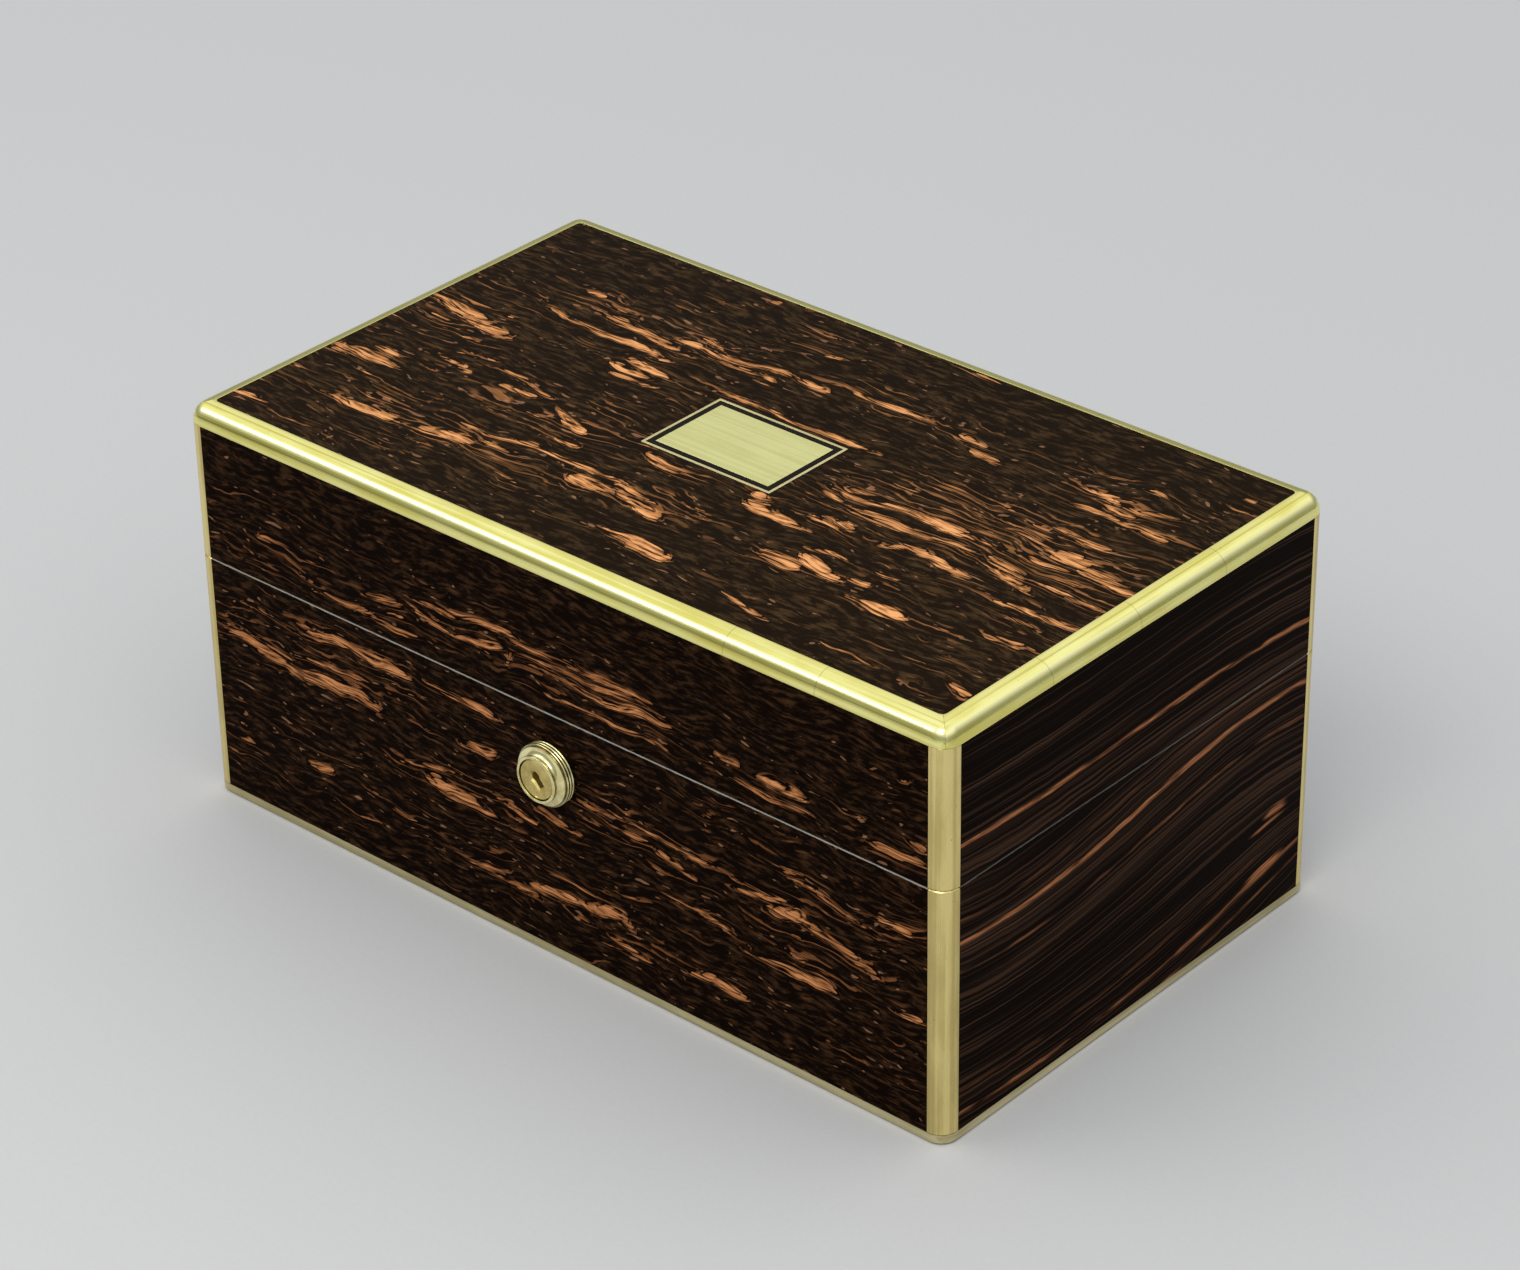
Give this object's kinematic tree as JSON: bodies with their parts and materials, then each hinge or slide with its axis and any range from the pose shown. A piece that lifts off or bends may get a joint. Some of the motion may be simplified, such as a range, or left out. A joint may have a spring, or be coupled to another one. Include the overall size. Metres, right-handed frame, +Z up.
{
  "type": "travelling jewelry box",
  "caption": "Brass-bound veneered jewelry box with a stop-hinged lid, a link lock turned through a round nozzle, a lined well and a lift-out tray.",
  "frame": {"origin": "middle of the flat underside", "axes": "+X along the width to the right as seen from the front, the lock faces -Y, +Z up"},
  "size_m": [0.305, 0.1916, 0.141],
  "materials": {
    "carcass_wood": "satin mahogany boards",
    "ebony_veneer": "French-polished figured ebony",
    "ebony_veneer_side": "French-polished striped ebony",
    "ebony_veneer_top": "French-polished figured ebony",
    "ebony_line": "polished black line",
    "binding_brass": "brushed along its length",
    "corner_brass": "aged, brushed along its length",
    "line_brass": "brushed",
    "cap_brass": "fine brushed, blank",
    "hinge_brass": "satin",
    "lock_brass": "satin",
    "nozzle_brass": "polished, worn",
    "barrel_brass": "dull face",
    "bolt_steel": "filed steel",
    "pin_steel": "drawn steel wire",
    "underside_leather": "grained skiver",
    "lining_velvet": "cotton velvet",
    "ring_pad_velvet": "cotton velvet over wadding",
    "lid_pad_silk": "padded silk satin"
  },
  "bodies": {
    "base": {"base_front_board": "carcass_wood", "base_front_veneer": "ebony_veneer", "base_edging_front": "binding_brass", "base_right_board": "carcass_wood", "base_right_veneer": "ebony_veneer_side", "base_edging_right": "binding_brass", "base_back_board": "carcass_wood", "base_back_veneer": "ebony_veneer", "base_edging_back": "binding_brass", "base_left_board": "carcass_wood", "base_left_veneer": "ebony_veneer_side", "base_edging_left": "binding_brass", "base_corner_front_right": "corner_brass", "base_corner_back_right": "corner_brass", "base_corner_back_left": "corner_brass", "base_corner_front_left": "corner_brass", "base_underside_leather": "underside_leather", "base_bottom_board": "carcass_wood", "well_lining": "lining_velvet", "well_floor_pad": "lining_velvet", "lock_case": "lock_brass", "lock_nozzle": "nozzle_brass", "hinge_left_base_leaf": "hinge_brass", "hinge_right_base_leaf": "hinge_brass", "hinge_left_pin": "pin_steel", "hinge_right_pin": "pin_steel"},
    "lid": {"lid_front_board": "carcass_wood", "lid_front_veneer": "ebony_veneer", "lid_moulding_front": "binding_brass", "lid_right_board": "carcass_wood", "lid_right_veneer": "ebony_veneer_side", "lid_moulding_right": "binding_brass", "lid_back_board": "carcass_wood", "lid_back_veneer": "ebony_veneer", "lid_moulding_back": "binding_brass", "lid_left_board": "carcass_wood", "lid_left_veneer": "ebony_veneer_side", "lid_moulding_left": "binding_brass", "lid_corner_front_right": "corner_brass", "lid_corner_back_right": "corner_brass", "lid_corner_back_left": "corner_brass", "lid_corner_front_left": "corner_brass", "lid_top_board": "carcass_wood", "lid_top_veneer": "ebony_veneer_top", "cap_plate": "cap_brass", "cap_plate_ebony_line": "ebony_line", "cap_plate_brass_line": "line_brass", "lock_link_plate": "lock_brass", "hinge_left_lid_leaf": "hinge_brass", "hinge_right_lid_leaf": "hinge_brass", "lid_lining": "lining_velvet", "lid_lining_pad": "lid_pad_silk"},
    "tray": {"tray_floor": "lining_velvet", "tray_frame": "lining_velvet", "tray_dividers": "lining_velvet", "ring_pad": "ring_pad_velvet"},
    "lock_barrel": {"lock_barrel": "barrel_brass"},
    "lock_bolt": {"lock_bolt": "bolt_steel"}
  },
  "joints": [
    {"name": "lid_hinge", "type": "hinge", "parent": "base", "child": "lid", "pos_m": [0, 0.0921, 0.0877], "axis": [-1, 0, 0], "range_deg": [0, 95]},
    {"name": "barrel_turn", "type": "hinge", "parent": "base", "child": "lock_barrel", "pos_m": [0, -0.0895, 0.0672], "axis": [0, 1, 0], "range_deg": [0, 90]},
    {"name": "bolt_slide", "type": "slide", "parent": "base", "child": "lock_bolt", "axis": [1, 0, 0], "range_m": [0, 0.00495]},
    {"name": "tray_lift", "type": "slide", "parent": "base", "child": "tray", "axis": [0, 0, 1], "range_m": [0, 0.029]}
  ],
  "couplings": [
    {"joint": "bolt_slide", "follows": "barrel_turn", "m_per_rad": 0.003151}
  ]
}
